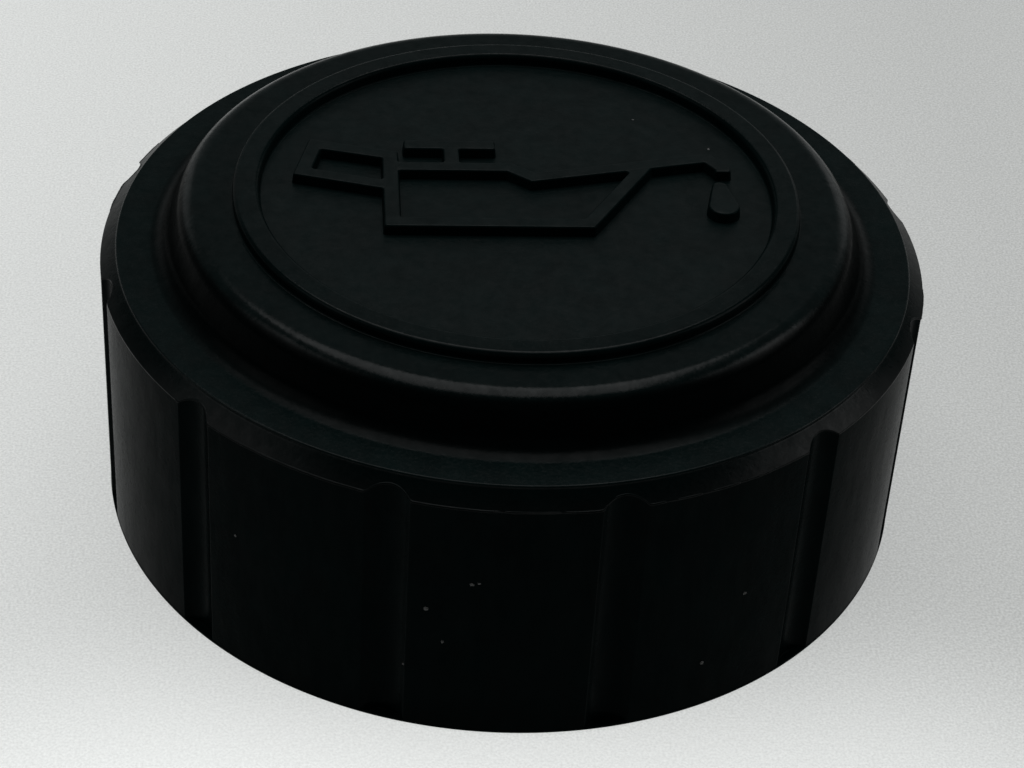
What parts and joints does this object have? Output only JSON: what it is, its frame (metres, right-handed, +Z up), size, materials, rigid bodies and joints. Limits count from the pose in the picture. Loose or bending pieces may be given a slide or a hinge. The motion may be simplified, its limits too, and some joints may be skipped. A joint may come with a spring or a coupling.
{
  "type": "oil filler cap",
  "caption": "Round black plastic screw cap for an engine's oil filler neck, with a fluted skirt, a domed top, a raised oil-can sign in a recessed disc and a rubber sealing ring inside.",
  "frame": {"origin": "centre of the skirt's rim, the face that the cap stands on", "axes": "+Z up along the cap's axis, away from the filler neck; +X to the right of the sign on top when it is read upright; -Y to the front"},
  "size_m": [0.064, 0.064, 0.0272],
  "materials": {
    "cap_plastic": "black moulded plastic with a fine satin grain",
    "seal_rubber": "smooth dull black rubber"
  },
  "bodies": {
    "root": {"cap_body": "cap_plastic", "sealing_ring": "seal_rubber"}
  },
  "joints": []
}
